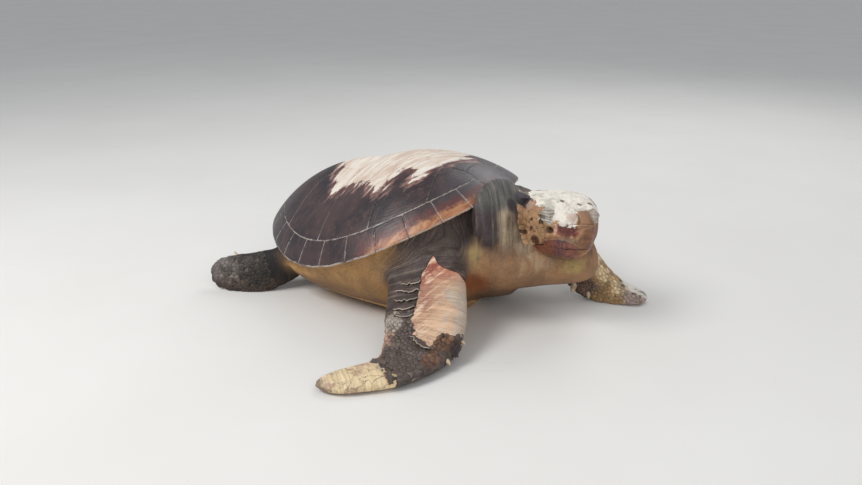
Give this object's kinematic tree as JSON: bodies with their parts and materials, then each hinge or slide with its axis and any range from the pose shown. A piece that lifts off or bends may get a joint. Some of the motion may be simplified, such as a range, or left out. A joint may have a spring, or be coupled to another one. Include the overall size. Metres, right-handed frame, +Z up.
{
  "type": "loggerhead sea turtle model",
  "caption": "Life-size loggerhead turtle with a domed plated shell, resting on its chest and flippers with its big head raised and turned to its right.",
  "frame": {"origin": "middle of the model's bounding box, on the floor", "axes": "+X from tail to head along the body, +Y to the animal's left, +Z up"},
  "size_m": [1.189, 0.9594, 0.4168],
  "materials": {
    "shell": "horny plates, half glossy",
    "plastron": "satin",
    "skin": "matt scaly skin",
    "throat": "matt wrinkled skin",
    "head": "matt plates and skin",
    "beak": "satin horn",
    "eye": "wet, clouded",
    "claw": "satin horn"
  },
  "bodies": {
    "root": {"beak_upper": "beak", "claw_front_left_1": "claw", "claw_front_left_2": "claw", "claw_front_right_1": "claw", "claw_front_right_2": "claw", "claw_rear_left": "claw", "claw_rear_right": "claw", "eye_left": "eye", "eye_right": "eye", "front_flipper_left": "skin", "front_flipper_right": "skin", "head": "head", "jaw_lower": "beak", "neck": "throat", "plastron": "plastron", "rear_flipper_left": "skin", "rear_flipper_right": "skin", "scute_costal_left_1": "shell", "scute_costal_left_2": "shell", "scute_costal_left_3": "shell", "scute_costal_left_4": "shell", "scute_costal_left_5": "shell", "scute_costal_right_1": "shell", "scute_costal_right_2": "shell", "scute_costal_right_3": "shell", "scute_costal_right_4": "shell", "scute_costal_right_5": "shell", "scute_marginal_left_1": "shell", "scute_marginal_left_10": "shell", "scute_marginal_left_11": "shell", "scute_marginal_left_12": "shell", "scute_marginal_left_2": "shell", "scute_marginal_left_3": "shell", "scute_marginal_left_4": "shell", "scute_marginal_left_5": "shell", "scute_marginal_left_6": "shell", "scute_marginal_left_7": "shell", "scute_marginal_left_8": "shell", "scute_marginal_left_9": "shell", "scute_marginal_right_1": "shell", "scute_marginal_right_10": "shell", "scute_marginal_right_11": "shell", "scute_marginal_right_12": "shell", "scute_marginal_right_2": "shell", "scute_marginal_right_3": "shell", "scute_marginal_right_4": "shell", "scute_marginal_right_5": "shell", "scute_marginal_right_6": "shell", "scute_marginal_right_7": "shell", "scute_marginal_right_8": "shell", "scute_marginal_right_9": "shell", "scute_nuchal": "shell", "scute_vertebral_1": "shell", "scute_vertebral_2": "shell", "scute_vertebral_3": "shell", "scute_vertebral_4": "shell", "scute_vertebral_5": "shell", "tail": "skin", "trunk": "skin"}
  },
  "joints": []
}
